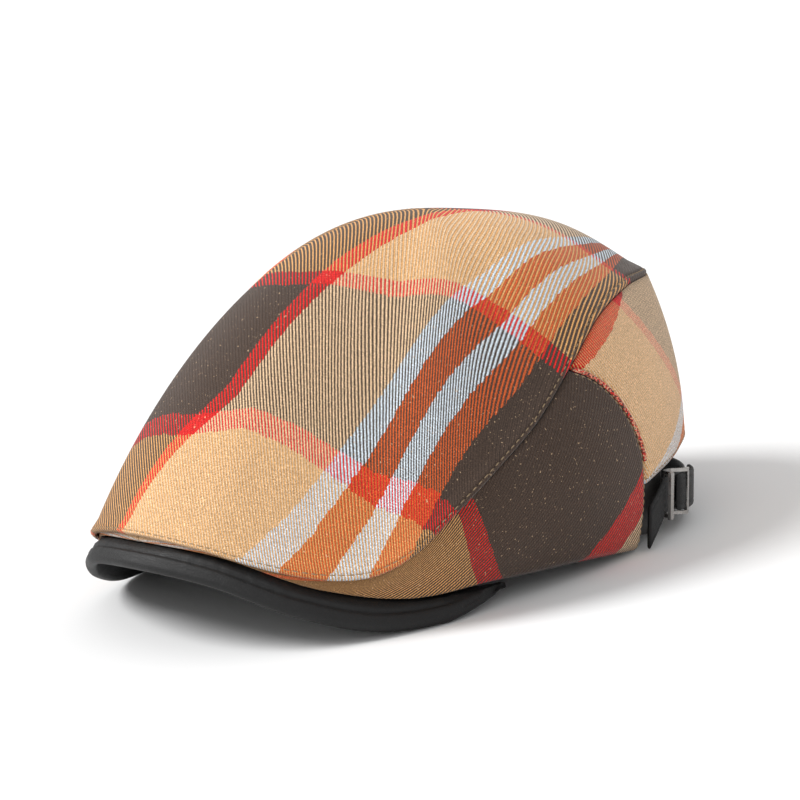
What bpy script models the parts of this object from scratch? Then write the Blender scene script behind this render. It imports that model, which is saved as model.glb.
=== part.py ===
"""Flat cap: a one-piece top panel over two side panels and a back panel, lined, on a leather-covered visor,
with a two-part leather strap and a metal slide across the back opening.

The cap is designed in its head frame: the front of the visor towards -Y, the wearer's left towards +X, +Z up,
and angles round the head measured from the front. An empty then leans the whole cap back until it stands on
the two lobes of its visor and the back of its hem."""

import math

import bmesh
import bpy
import numpy as np
from mathutils import Matrix, Vector

MM = 0.001

# Lower edge of the crown: half width, reach to the front, reach to the back, roundness of the outline.
HEM_HALF_WIDTH = 84.0
HEM_FRONT = 124.5
HEM_BACK = 101.0
HEM_ROUNDNESS = 2.05
# Height of that edge at each angle from the front, in degrees.
HEM_HEIGHT = {0: 24.6, 22: 21.8, 42: 11.4, 58: 7.6, 75: 11.6, 100: 14.4, 150: 11.2, 180: 10.8}

# Seam between the top panel and the panels below it, as points (x, y, z) down the wearer's left side.
SEAM = {
    0: (0.0, -126.5, 27.2),
    16: (28.0, -121.0, 24.6),
    27: (45.0, -110.0, 19.6),
    38: (59.0, -96.0, 16.0),
    46: (69.0, -83.0, 16.6),
    54: (77.0, -72.0, 23.4),
    63: (82.0, -59.5, 35.0),
    74: (85.0, -43.0, 48.5),
    84: (83.5, -22.0, 63.0),
    94: (79.0, -2.0, 79.5),
    110: (69.0, 23.0, 95.5),
    130: (53.0, 55.0, 104.0),
    152: (33.0, 87.0, 106.5),
    180: (0.0, 99.0, 107.0),
}
CROWN_TOP = (0.0, 6.0, 131.5)
# Round the front the panel below is set back under the edge of the top panel by this much.
LAP = {0: 2.3, 56: 2.3, 80: 0.0, 180: 0.0}

# How far the side and back panels bulge past the straight line from hem to seam, as a part of that line.
SIDE_BULGE = {0: 0.05, 45: 0.06, 70: 0.13, 90: 0.16, 120: 0.14, 150: 0.13, 180: 0.13}
# The top panel leaves the seam leaning inwards by this angle from upright, and runs straight this far.
TOP_LEAN = {0: 21.0, 30: 21.0, 60: 20.0, 80: 28.0, 95: 34.0, 120: 46.0, 150: 56.0, 180: 60.0}
TOP_RISE = {0: 34.0, 30: 36.0, 60: 39.0, 80: 36.0, 95: 33.0, 120: 32.0, 150: 34.0, 180: 34.0}
TOP_FLATNESS = {0: 0.54, 45: 0.56, 90: 0.54, 180: 0.56}

# Side and back panels: the seam between them runs from the top seam down to the back corner of the hem.
JUNCTION_ANGLE = 94.0
CORNER_ANGLE = 108.0
CORNER_HEIGHT_PART = 0.42
BACK_ARCH_SIDE = 0.29
BACK_ARCH_MIDDLE = 0.40

TOP_LAST_RING = 0.93

FABRIC = 1.6
LINING = 0.6
LINING_DEPTH = 2.6
LINING_SEAM = {0: 6.0, 35: 5.0, 60: 1.6, 90: 1.3, 180: 1.3}
LINING_START = 52.0
SEAM_GAP = 0.65
CLOTH_SEAM = {0: SEAM_GAP, 180: SEAM_GAP}

# Visor: outer edge outline, heights of its lower edge, and its inner edge along the head opening.
VISOR_HALF_WIDTH = 87.0
VISOR_FRONT = 127.0
VISOR_ROUNDNESS = 2.06
VISOR_HEIGHT = {0: 18.4, 20: 15.4, 38: 5.7, 52: 0.6, 66: 3.0, 82: 11.0}
# Towards its ends the visor's edge tucks in under the hem by this much.
VISOR_TUCK = {0: 0.0, 54: 0.0, 74: 1.5, 180: 1.5}
VISOR_END = 71.0
OPENING_HALF_WIDTH = 81.6
OPENING_FRONT = 97.0
OPENING_RISE = 3.0
COVER = 0.9
BOARD = 1.8
LAYER_GAP = 0.3
VISOR_PARTS = (0.1, 0.2, 0.3, 0.5, 0.75, 1.0)
PIPING_RADIUS = 1.5
PIPING_OUT = 1.0

SWEATBAND_HEIGHT = 30.0
SWEATBAND = 1.0
SWEATBAND_HALF_WIDTH = 79.2
SWEATBAND_FRONT = 94.5
SWEATBAND_END = 97.0
FACING = 0.9
FACING_DEPTH = 3.7
LABEL = 0.4

# The strap and its slide follow a circle round the back, with this centre and middle radius.
STRAP_CENTRE = (0.0, 20.5)
STRAP_RADIUS = 82.8
STRAP = 1.5
STRAP_WIDTH = 13.0
STRAP_HEIGHT = 25.0
STRAP_CLIMB = 0.7
STRAP_LAYER = STRAP + LAYER_GAP
STRAP_ROOT = 79.6
# Past this bearing the strap widens downwards to its root, and its upper edge comes down.
ROOT_START = 74.2
ROOT_UNDER = 8.5
ROOT_OVER = 7.0
SLIDE = 67.0  # bearing of the slide's middle bar
SLIDE_HALF_SPAN = 6.6
SLIDE_BAR = 1.2
SLIDE_BAR_SPAN = 1.6
SLIDE_PLATE = 1.2
SLIDE_CLEARANCE = 0.5

# The cap stands on the visor's lobes and the back of the strap.
STAND_TILT = 8.85
STAND_SHIFT = (0.0, 3.28, -8.68)


def blend(table, angle):
    """A smooth even curve through the table's values, at any angle from the front."""
    keys = sorted(table)
    folded = abs((angle + 180.0) % 360.0 - 180.0)
    values = [np.atleast_1d(np.array(table[k], float)) for k in keys]
    i = min(max(int(np.searchsorted(keys, folded, side="right")) - 1, 0), len(keys) - 2)
    width = keys[i + 1] - keys[i]

    def slope(j):
        if j == 0 or j == len(keys) - 1:
            at_centre = keys[j] in (0, 180)
            other = 1 if j == 0 else j - 1
            along = (values[j] - values[other]) / (keys[j] - keys[other])
            flat = np.zeros_like(along)
            if along.size == 3:
                flat[0] = along[0]
            return flat if at_centre else along
        return (values[j + 1] - values[j - 1]) / (keys[j + 1] - keys[j - 1])

    t = (folded - keys[i]) / width
    found = (
        (2 * t**3 - 3 * t**2 + 1) * values[i]
        + (t**3 - 2 * t**2 + t) * width * slope(i)
        + (3 * t**2 - 2 * t**3) * values[i + 1]
        + (t**3 - t**2) * width * slope(i + 1)
    )
    if found.size == 1:
        return float(found[0])
    if (angle + 180.0) % 360.0 - 180.0 < 0:
        found = found * np.array([-1.0, 1.0, 1.0])
    return found


def outline(angle, half_width, front, back, roundness):
    """A point of a superellipse seen from above."""
    across, along = math.sin(math.radians(angle)), math.cos(math.radians(angle))
    reach = front if along > 0 else back
    power = 2.0 / roundness
    return np.array([
        math.copysign(abs(across) ** power, across) * half_width,
        -math.copysign(abs(along) ** power, along) * reach,
        0.0,
    ])


def hem_point(angle):
    place = outline(angle, HEM_HALF_WIDTH, HEM_FRONT, HEM_BACK, HEM_ROUNDNESS)
    place[2] = blend(HEM_HEIGHT, angle)
    return place


def outward(angle):
    """Unit vector pointing out of the hem outline, in plan."""
    step = hem_point(angle + 0.5) - hem_point(angle - 0.5)
    normal = np.array([step[1], -step[0], 0.0])
    normal /= np.linalg.norm(normal)
    return normal if normal @ hem_point(angle) > 0 else -normal


def bezier(points, t):
    a, b, c, d = points
    return (1 - t) ** 3 * a + 3 * t * (1 - t) ** 2 * b + 3 * t**2 * (1 - t) * c + t**3 * d


def side_surface(angle, up):
    """The crown below the seam: up runs from 0 at the hem to 1 at the seam."""
    low = hem_point(angle)
    high = blend(SEAM, angle) - outward(angle) * blend(LAP, angle)
    bulge = outward(angle) * blend(SIDE_BULGE, angle) * np.linalg.norm(high - low)
    third = (high - low) / 3
    return bezier((low, low + third + bulge, high - third + bulge, high), up)


def top_surface(angle, inwards):
    """The top panel: inwards runs from 0 at the seam to 1 at the top of the crown."""
    edge, top = blend(SEAM, angle), np.array(CROWN_TOP)
    lean = math.radians(blend(TOP_LEAN, angle))
    inner = -outward(angle)
    first = edge + blend(TOP_RISE, angle) * (np.array([0, 0, math.cos(lean)]) + inner * math.sin(lean))
    level = np.array([edge[0] - top[0], edge[1] - top[1], 0.0]) * blend(TOP_FLATNESS, angle)
    return bezier((edge, first, top + level, top), inwards)


def inside(surface, depth):
    """The surface moved towards the head by depth."""
    if depth == 0:
        return surface

    def moved(angle, part):
        step = 0.02
        low, high = max(part - step, 0.0), min(part + step, 1.0 - 1e-4)
        across = surface(angle + 1.0, part) - surface(angle - 1.0, part)
        along = surface(angle, high) - surface(angle, low)
        normal = np.cross(across, along)
        normal /= np.linalg.norm(normal)
        place = surface(angle, part)
        centre = np.array([0.0, 0.0, 45.0])
        if normal @ (place - centre) < 0:
            normal = -normal
        return place - normal * depth

    return moved


def back_seam_angle(up):
    """Where the side panel ends, at a height between hem and seam."""
    if up <= CORNER_HEIGHT_PART:
        return CORNER_ANGLE
    t = (up - CORNER_HEIGHT_PART) / (1 - CORNER_HEIGHT_PART)
    return CORNER_ANGLE + (JUNCTION_ANGLE - CORNER_ANGLE) * (0.35 * t + 0.65 * t * t)


def add_object(name, mesh, material, thickness=0.0, offset=-1.0):
    obj = bpy.data.objects.new(name, mesh)
    PARTS.objects.link(obj)
    mesh.materials.append(material)
    mesh.shade_smooth()
    if thickness:
        wall = obj.modifiers.new("thickness", "SOLIDIFY")
        wall.thickness = thickness * MM
        wall.offset = offset
        wall.use_even_offset = True
        wall.use_quality_normals = True
    obj.parent = STAND
    return obj


def loft(name, rows, closed=False, pole=None):
    """A mesh through rows of points. closed joins the last row to the first, pole joins the row ends there."""
    count, width = len(rows), len(rows[0])
    points = [tuple(np.array(p) * MM) for row in rows for p in row]
    faces = []
    for i in range(count if closed else count - 1):
        j = (i + 1) % count
        for k in range(width - 1):
            faces.append((i * width + k, j * width + k, j * width + k + 1, i * width + k + 1))
    if pole is not None:
        points.append(tuple(np.array(pole) * MM))
        for i in range(count):
            j = (i + 1) % count
            faces.append((i * width + width - 1, j * width + width - 1, len(points) - 1))
    mesh = bpy.data.meshes.new(name)
    mesh.from_pydata(points, [], faces)
    mesh.update()
    return mesh


def material(name, colour, roughness, metallic=0.0):
    made = bpy.data.materials.new(name)
    made.use_nodes = True
    shader = made.node_tree.nodes["Principled BSDF"]
    shader.inputs["Base Color"].default_value = (*colour, 1.0)
    shader.inputs["Roughness"].default_value = roughness
    shader.inputs["Metallic"].default_value = metallic
    return made


def steps(start, end, count):
    return [start + (end - start) * i / count for i in range(count + 1)]


def seam_trim(angle, gaps, length):
    """The part of a panel's length that its gap at the seam takes."""
    return blend(gaps, angle) / length


def side_rows(side, depth, start, hem_part, count, levels, gaps):
    """Rows of a side panel, from an angle near the middle of the front to the back seam."""
    surface = inside(side_surface, depth)
    rows = []
    for i in range(count + 1):
        row = []
        for k in range(levels + 1):
            up = hem_part + (1 - hem_part) * k / levels
            end = back_seam_angle(up) - math.degrees(blend(gaps, CORNER_ANGLE) / HEM_BACK)
            angle = start + (end - start) * i / count
            height = np.linalg.norm(blend(SEAM, angle) - hem_point(angle))
            row.append(surface(side * angle, min(up, 1 - seam_trim(angle, gaps, height))))
        rows.append(row)
    return rows if side > 0 else rows[::-1]


def back_rows(depth, count, levels, gaps):
    surface = inside(side_surface, depth)
    rows = []
    for i in range(count + 1):
        across = -1 + 2 * i / count
        row = []
        for k in range(levels + 1):
            low = BACK_ARCH_MIDDLE + (BACK_ARCH_SIDE - BACK_ARCH_MIDDLE) * abs(across) ** 2.2
            up = low + (1 - low) * k / levels
            reach = 180 - back_seam_angle(up) - math.degrees(blend(gaps, CORNER_ANGLE) / HEM_BACK)
            angle = 180 - across * reach
            height = np.linalg.norm(blend(SEAM, angle) - hem_point(angle))
            row.append(surface(angle, min(up, 1 - seam_trim(angle, gaps, height))))
        rows.append(row)
    return rows[::-1]


def top_rows(depth, count, levels, gaps):
    surface = inside(top_surface, depth)
    rows = []
    for i in range(count):
        angle = 360.0 * i / count
        length = np.linalg.norm(blend(SEAM, angle) - np.array(CROWN_TOP))
        start = seam_trim(angle, gaps, length)
        rows.append([surface(angle, part) for part in steps(start, TOP_LAST_RING, levels)])
    return rows, np.array(CROWN_TOP) - np.array([0, 0, depth])


def visor_edge(angle):
    place = outline(angle, VISOR_HALF_WIDTH, VISOR_FRONT, HEM_BACK, VISOR_ROUNDNESS)
    place -= outward(angle) * blend(VISOR_TUCK, angle)
    place[2] = blend(VISOR_HEIGHT, angle)
    return place


def visor_middle(angle, inwards):
    """The visor's middle surface: from its outer edge at 0, under the hem, to the head opening at 1."""
    edge = visor_edge(angle)
    under_hem = hem_point(angle)
    under_hem[2] -= LAYER_GAP + COVER + LAYER_GAP + BOARD / 2 + 0.3
    inner = outline(angle, OPENING_HALF_WIDTH, OPENING_FRONT, HEM_BACK, 2.0)
    width = np.linalg.norm((under_hem - inner)[:2])
    inner[2] = under_hem[2] + OPENING_RISE * min(width / 30.0, 1.0)
    knots = (0.0, 0.3, 1.0)
    places = np.array([edge, under_hem, inner])
    return np.array([np.interp(inwards, knots, places[:, axis]) for axis in range(3)])


def visor_surface(angle, inwards, lift):
    """The visor's middle surface moved upwards, square to itself, by lift."""
    step = 0.04
    across = visor_middle(angle + 1, inwards) - visor_middle(angle - 1, inwards)
    along = visor_middle(angle, min(inwards + step, 1)) - visor_middle(angle, max(inwards - step, 0))
    normal = np.cross(across, along)
    normal *= math.copysign(1 / np.linalg.norm(normal), normal[2])
    return visor_middle(angle, inwards) + normal * lift


def visor_rows(lift, reach):
    return [[visor_surface(angle, part, lift) for part in VISOR_PARTS] for angle in steps(-reach, reach, 40)]


def make_crown(cloth, lining):
    top, pole = top_rows(0.0, 48, 8, CLOTH_SEAM)
    add_object("top_panel", loft("top_panel", top, True, pole), cloth, FABRIC)
    top, pole = top_rows(LINING_DEPTH, 48, 6, LINING_SEAM)
    add_object("lining_top", loft("lining_top", top, True, pole), lining, LINING)
    for side, word in ((1, "left"), (-1, "right")):
        rows = side_rows(side, 0.0, math.degrees(SEAM_GAP / HEM_FRONT), 0.0, 26, 7, CLOTH_SEAM)
        add_object("side_panel_" + word, loft("side_panel_" + word, rows), cloth, FABRIC)
        rows = side_rows(side, LINING_DEPTH, LINING_START, 0.02, 16, 5, LINING_SEAM)
        add_object("lining_side_" + word, loft("lining_side_" + word, rows), lining, LINING)
    add_object("back_panel", loft("back_panel", back_rows(0.0, 24, 7, CLOTH_SEAM)), cloth, FABRIC)
    add_object("lining_back", loft("lining_back", back_rows(LINING_DEPTH, 18, 5, LINING_SEAM)), lining, LINING)


def make_visor(leather, board):
    lift = BOARD / 2 + LAYER_GAP
    top = visor_rows(lift, VISOR_END)
    add_object("visor_cover_top", loft("visor_cover_top", top), leather, COVER, 1.0)
    middle = visor_rows(0.0, VISOR_END)
    add_object("visor_board", loft("visor_board", middle), board, BOARD, 0.0)
    low = visor_rows(-lift, VISOR_END)
    add_object("visor_cover_bottom", loft("visor_cover_bottom", low), leather, COVER, -1.0)


def strap_edges(bearing):
    """Heights of the strap's lower and upper edge."""
    low = STRAP_HEIGHT + STRAP_CLIMB * (bearing / STRAP_ROOT) ** 2
    spread = max(abs(bearing) - ROOT_START, 0.0) / (STRAP_ROOT - ROOT_START)
    return low - ROOT_UNDER * spread, low + STRAP_WIDTH - ROOT_OVER * spread


def strap_place(bearing, radius, height):
    """A point round the back: the bearing is measured from straight back, positive to the wearer's left."""
    turn = math.radians(bearing)
    return np.array([
        STRAP_CENTRE[0] + radius * math.sin(turn),
        STRAP_CENTRE[1] + radius * math.cos(turn),
        height,
    ])


def strap_rows(bearings, radius):
    return [[strap_place(bearing, radius, z) for z in strap_edges(bearing)] for bearing in bearings]


def make_piping(leather):
    curve = bpy.data.curves.new("visor_piping", "CURVE")
    curve.dimensions = "3D"
    curve.bevel_depth = PIPING_RADIUS * MM
    curve.bevel_resolution = 2
    curve.use_fill_caps = True
    angles = steps(-VISOR_END, VISOR_END, 52)
    spline = curve.splines.new("POLY")
    spline.points.add(len(angles) - 1)
    for point, angle in zip(spline.points, angles):
        edge = visor_edge(angle)
        away = edge - visor_surface(angle, 0.2, 0.0)
        edge += away / np.linalg.norm(away) * PIPING_OUT
        point.co = (*(edge * MM), 1.0)
    obj = bpy.data.objects.new("visor_piping", curve)
    PARTS.objects.link(obj)
    curve.materials.append(leather)
    obj.parent = STAND


def make_inner_bands(leather, label):
    rows = []
    for angle in steps(-SWEATBAND_END, SWEATBAND_END, 48):
        place = outline(angle, SWEATBAND_HALF_WIDTH, SWEATBAND_FRONT, HEM_BACK - 6, 2.0)
        bottom = blend(HEM_HEIGHT, angle) + 1.5
        rows.append([place + np.array([0, 0, bottom + h]) for h in (0, SWEATBAND_HEIGHT)])
    add_object("sweatband", loft("sweatband", rows), leather, SWEATBAND, 0.0)
    surface = inside(side_surface, FACING_DEPTH)
    for side, word in ((1, "left"), (-1, "right")):
        rows = [[surface(side * a, up) for up in steps(0.04, 0.42, 4)] for a in steps(99.0, 122.0, 8)]
        rows = rows if side > 0 else rows[::-1]
        add_object("rear_facing_" + word, loft("rear_facing_" + word, rows), leather, FACING)
    surface = inside(side_surface, LINING_DEPTH + LINING + 3 * LAYER_GAP)
    rows = [[surface(a, up) for up in steps(0.55, 0.75, 3)] for a in steps(171.0, 189.0, 5)]
    add_object("size_label", loft("size_label", rows), label, LABEL)


def slide_radius(offset):
    """The slide's plate stands proud of the strap at its two outer bars and dips behind it at its middle bar."""
    outer = STRAP_RADIUS + STRAP_LAYER + STRAP / 2 + LAYER_GAP + SLIDE_PLATE / 2
    inner = STRAP_RADIUS - STRAP / 2 - LAYER_GAP - SLIDE_PLATE / 2
    dip = min(max((SLIDE_HALF_SPAN - SLIDE_BAR_SPAN - abs(offset)) / (SLIDE_HALF_SPAN - 2 * SLIDE_BAR_SPAN), 0), 1)
    return outer + (inner - outer) * dip * dip * (3 - 2 * dip)


def make_slide(metal):
    """A curved plate with two slots, solid where a bar or a rail is."""
    half, bar = SLIDE_HALF_SPAN, SLIDE_BAR_SPAN
    columns = [-half, -half + bar, -4.0, -3.1, -2.0, -bar / 2, bar / 2, 2.0, 3.1, 4.0, half - bar, half]
    low, high = strap_edges(SLIDE)
    low, high = low - SLIDE_CLEARANCE, high + SLIDE_CLEARANCE
    heights = [low - SLIDE_BAR, low, (low + high) / 2, high, high + SLIDE_BAR]
    solid_columns = {0, 5, 10}
    rows = [[strap_place(SLIDE + offset, slide_radius(offset), z) for z in heights] for offset in columns]
    mesh = loft("slide_buckle", rows)
    slots = [
        face.index for face in mesh.polygons
        if face.index % 4 in (1, 2) and face.index // 4 not in solid_columns
    ]
    cut = bmesh.new()
    cut.from_mesh(mesh)
    cut.faces.ensure_lookup_table()
    bmesh.ops.delete(cut, geom=[cut.faces[i] for i in slots], context="FACES")
    cut.to_mesh(mesh)
    cut.free()
    pivot = Vector(strap_place(0.0, 0.0, 0.0) * MM)
    mesh.transform(Matrix.Translation(-pivot))
    slide = add_object("slide_buckle", mesh, metal, SLIDE_PLATE, 0.0)
    slide.location = pivot
    return slide


def make_strap(leather):
    bearings = [-STRAP_ROOT] + steps(-ROOT_START, 72.8, 60)
    add_object("strap_long", loft("strap_long", strap_rows(bearings, STRAP_RADIUS)), leather, STRAP, 0.0)
    outer = STRAP_RADIUS + STRAP_LAYER
    root = strap_rows(steps(ROOT_START, STRAP_ROOT, 5), outer)
    add_object("strap_root_left", loft("strap_root_left", root), leather, STRAP, 0.0)
    pivot = Vector(strap_place(0.0, 0.0, 0.0) * MM)
    mesh = loft("strap_fold", strap_rows(steps(SLIDE - 23.0, SLIDE - 1.0, 10), outer))
    mesh.transform(Matrix.Translation(-pivot))
    add_object("strap_fold", mesh, leather, STRAP, 0.0).location = pivot


def clear_scene():
    for old in list(bpy.data.objects):
        bpy.data.objects.remove(old, do_unlink=True)


clear_scene()
PARTS = bpy.data.collections.new("flat_cap")
bpy.context.scene.collection.children.link(PARTS)
STAND = bpy.data.objects.new("stand", None)
PARTS.objects.link(STAND)
STAND.rotation_euler = (-math.radians(STAND_TILT), 0.0, 0.0)
STAND.location = [value * MM for value in STAND_SHIFT]

LEATHER = material("black_leather", (0.022, 0.022, 0.024), 0.45)
make_crown(
    material("plaid_twill", (0.45, 0.26, 0.13), 0.9),
    material("lining_satin", (0.02, 0.02, 0.025), 0.5),
)
make_visor(LEATHER, material("visor_board", (0.6, 0.6, 0.58), 0.8))
make_piping(LEATHER)
make_inner_bands(LEATHER, material("label_cloth", (0.7, 0.7, 0.68), 0.8))
make_strap(LEATHER)
make_slide(material("gunmetal", (0.35, 0.34, 0.33), 0.3, 1.0))
bpy.context.view_layer.update()
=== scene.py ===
"""Looks of the flat cap: plaid twill panels with raised seams and topstitching, a padded leather visor,
a leather strap with a metal slide, and the lining. It works in the same head frame as the CAD, in millimetres,
and stands the result up with the same tilt."""

import bisect
import math

import bpy
import numpy as np
from mathutils import Matrix, Vector


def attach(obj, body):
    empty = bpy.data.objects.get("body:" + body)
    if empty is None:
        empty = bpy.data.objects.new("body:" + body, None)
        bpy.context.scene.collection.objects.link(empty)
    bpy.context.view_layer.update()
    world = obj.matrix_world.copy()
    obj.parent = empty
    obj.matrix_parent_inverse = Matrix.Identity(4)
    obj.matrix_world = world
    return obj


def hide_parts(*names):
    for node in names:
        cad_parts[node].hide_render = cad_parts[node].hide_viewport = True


MM = 0.001

# Lower edge of the crown: half width, reach to the front, reach to the back, roundness of the outline.
HEM_HALF_WIDTH = 84.0
HEM_FRONT = 124.5
HEM_BACK = 101.0
HEM_ROUNDNESS = 2.05
# Height of that edge at each angle from the front, in degrees.
HEM_HEIGHT = {0: 24.6, 22: 21.8, 42: 11.4, 58: 7.6, 75: 11.6, 100: 14.4, 150: 11.2, 180: 10.8}

# Seam between the top panel and the panels below it, as points (x, y, z) down the wearer's left side.
SEAM = {
    0: (0.0, -126.5, 27.2),
    16: (28.0, -121.0, 24.6),
    27: (45.0, -110.0, 19.6),
    38: (59.0, -96.0, 16.0),
    46: (69.0, -83.0, 16.6),
    54: (77.0, -72.0, 23.4),
    63: (82.0, -59.5, 35.0),
    74: (85.0, -43.0, 48.5),
    84: (83.5, -22.0, 63.0),
    94: (79.0, -2.0, 79.5),
    110: (69.0, 23.0, 95.5),
    130: (53.0, 55.0, 104.0),
    152: (33.0, 87.0, 106.5),
    180: (0.0, 99.0, 107.0),
}
CROWN_TOP = (0.0, 6.0, 131.5)
# A point inside the head, from which a surface's outer side is told.
CROWN_CENTRE = np.array([0.0, 0.0, 45.0])
# Round the front the panel below is set back under the edge of the top panel by this much.
LAP = {0: 2.3, 56: 2.3, 80: 0.0, 180: 0.0}

# How far the side and back panels bulge past the straight line from hem to seam, as a part of that line.
SIDE_BULGE = {0: 0.05, 45: 0.06, 70: 0.13, 90: 0.16, 120: 0.14, 150: 0.13, 180: 0.13}
# The top panel leaves the seam leaning inwards by this angle from upright, and runs straight this far.
TOP_LEAN = {0: 21.0, 30: 21.0, 60: 20.0, 80: 28.0, 95: 34.0, 120: 46.0, 150: 56.0, 180: 60.0}
TOP_RISE = {0: 34.0, 30: 36.0, 60: 39.0, 80: 36.0, 95: 33.0, 120: 32.0, 150: 34.0, 180: 34.0}
TOP_FLATNESS = {0: 0.54, 45: 0.56, 90: 0.54, 180: 0.56}

# Side and back panels: the seam between them runs from the top seam down to the back corner of the hem.
JUNCTION_ANGLE = 94.0
CORNER_ANGLE = 108.0
CORNER_HEIGHT_PART = 0.42
BACK_ARCH_SIDE = 0.29
BACK_ARCH_MIDDLE = 0.40

CLOTH_WALL = 1.2
LINING = 0.6
LINING_WALL = LINING - 0.1
LINING_DEPTH = 2.6
LINING_SEAM = {0: 6.0, 35: 5.0, 60: 1.6, 90: 1.3, 180: 1.3}
LINING_START = 52.0

# Visor: outer edge outline, heights of its lower edge, and its inner edge along the head opening.
VISOR_HALF_WIDTH = 87.0
VISOR_FRONT = 127.0
VISOR_ROUNDNESS = 2.06
VISOR_HEIGHT = {0: 18.4, 20: 15.4, 38: 5.7, 52: 0.6, 66: 3.0, 82: 11.0}
# Towards its ends the visor's edge tucks in under the hem by this much.
VISOR_TUCK = {0: 0.0, 54: 0.0, 74: 1.5, 180: 1.5}
VISOR_END = 71.0
OPENING_HALF_WIDTH = 81.6
OPENING_FRONT = 97.0
OPENING_RISE = 3.0
COVER = 0.9
BOARD = 1.8
LAYER_GAP = 0.3

SWEATBAND_HEIGHT = 30.0
SWEATBAND = 1.0
SWEATBAND_HALF_WIDTH = 79.2
SWEATBAND_FRONT = 94.5
SWEATBAND_END = 97.0
FACING = 0.9
FACING_DEPTH = 3.7
LABEL = 0.4

# The strap and its slide follow a circle round the back, with this centre and middle radius.
STRAP_CENTRE = (0.0, 20.5)
STRAP_RADIUS = 82.8
STRAP = 1.5
STRAP_WIDTH = 13.0
STRAP_HEIGHT = 25.0
STRAP_CLIMB = 0.7
STRAP_LAYER = STRAP + LAYER_GAP
STRAP_ROOT = 79.6
# Past this bearing the strap widens downwards to its root, and its upper edge comes down.
ROOT_START = 74.2
ROOT_UNDER = 8.5
ROOT_OVER = 7.0
SLIDE = 67.0  # bearing of the slide's middle bar

# The cap stands on the visor's lobes and the back of the strap.
STAND_TILT = 8.85
STAND_SHIFT = (0.0, 3.28, -8.68)

# Tables that blend() has already met, by identity.
PREPARED = {}


def prepare(table):
    """The table's angles, values and slopes, kept so that they are worked out once."""
    keys = sorted(table)
    values = np.array([np.atleast_1d(np.array(table[k], float)) for k in keys])
    slopes = np.zeros_like(values)
    for j in range(1, len(keys) - 1):
        slopes[j] = (values[j + 1] - values[j - 1]) / (keys[j + 1] - keys[j - 1])
    for j, other in ((0, 1), (len(keys) - 1, len(keys) - 2)):
        along = (values[j] - values[other]) / (keys[j] - keys[other])
        if keys[j] not in (0, 180):
            slopes[j] = along
        elif values.shape[1] == 3:
            slopes[j, 0] = along[0]
    return table, keys, values, slopes


def blend(table, angle):
    """A smooth even curve through the table's values, at any angle from the front."""
    if id(table) not in PREPARED:
        PREPARED[id(table)] = prepare(table)
    _, keys, values, slopes = PREPARED[id(table)]
    signed = (angle + 180.0) % 360.0 - 180.0
    folded = abs(signed)
    i = min(max(bisect.bisect_right(keys, folded) - 1, 0), len(keys) - 2)
    width = keys[i + 1] - keys[i]
    t = (folded - keys[i]) / width
    found = (
        (2 * t**3 - 3 * t**2 + 1) * values[i]
        + (t**3 - 2 * t**2 + t) * width * slopes[i]
        + (3 * t**2 - 2 * t**3) * values[i + 1]
        + (t**3 - t**2) * width * slopes[i + 1]
    )
    if found.size == 1:
        return float(found[0])
    return found * np.array([-1.0, 1.0, 1.0]) if signed < 0 else found


def outline(angle, half_width, front, back, roundness):
    """A point of a superellipse seen from above."""
    across, along = math.sin(math.radians(angle)), math.cos(math.radians(angle))
    reach = front if along > 0 else back
    power = 2.0 / roundness
    return np.array([
        math.copysign(abs(across) ** power, across) * half_width,
        -math.copysign(abs(along) ** power, along) * reach,
        0.0,
    ])


def hem_point(angle):
    place = outline(angle, HEM_HALF_WIDTH, HEM_FRONT, HEM_BACK, HEM_ROUNDNESS)
    place[2] = blend(HEM_HEIGHT, angle)
    return place


def outward(angle):
    """Unit vector pointing out of the hem outline, in plan."""
    step = hem_point(angle + 0.5) - hem_point(angle - 0.5)
    normal = np.array([step[1], -step[0], 0.0])
    normal /= np.linalg.norm(normal)
    return normal if normal @ hem_point(angle) > 0 else -normal


def bezier(points, t):
    a, b, c, d = points
    return (1 - t) ** 3 * a + 3 * t * (1 - t) ** 2 * b + 3 * t**2 * (1 - t) * c + t**3 * d


def side_surface(angle, up):
    """The crown below the seam: up runs from 0 at the hem to 1 at the seam."""
    low = hem_point(angle)
    high = blend(SEAM, angle) - outward(angle) * blend(LAP, angle)
    bulge = outward(angle) * blend(SIDE_BULGE, angle) * np.linalg.norm(high - low)
    third = (high - low) / 3
    return bezier((low, low + third + bulge, high - third + bulge, high), up)


def top_surface(angle, inwards):
    """The top panel: inwards runs from 0 at the seam to 1 at the top of the crown."""
    edge, top = blend(SEAM, angle), np.array(CROWN_TOP)
    lean = math.radians(blend(TOP_LEAN, angle))
    inner = -outward(angle)
    first = edge + blend(TOP_RISE, angle) * (np.array([0, 0, math.cos(lean)]) + inner * math.sin(lean))
    level = np.array([edge[0] - top[0], edge[1] - top[1], 0.0]) * blend(TOP_FLATNESS, angle)
    return bezier((edge, first, top + level, top), inwards)


def inside(surface, depth):
    """The surface moved towards the head by depth."""
    if depth == 0:
        return surface

    def moved(angle, part):
        step = 0.02
        low, high = max(part - step, 0.0), min(part + step, 1.0 - 1e-4)
        across = surface(angle + 1.0, part) - surface(angle - 1.0, part)
        along = surface(angle, high) - surface(angle, low)
        normal = np.cross(across, along)
        normal /= np.linalg.norm(normal)
        place = surface(angle, part)
        if normal @ (place - CROWN_CENTRE) < 0:
            normal = -normal
        return place - normal * depth

    return moved


def back_seam_angle(up):
    """Where the side panel ends, at a height between hem and seam."""
    if up <= CORNER_HEIGHT_PART:
        return CORNER_ANGLE
    t = (up - CORNER_HEIGHT_PART) / (1 - CORNER_HEIGHT_PART)
    return CORNER_ANGLE + (JUNCTION_ANGLE - CORNER_ANGLE) * (0.35 * t + 0.65 * t * t)


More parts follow.
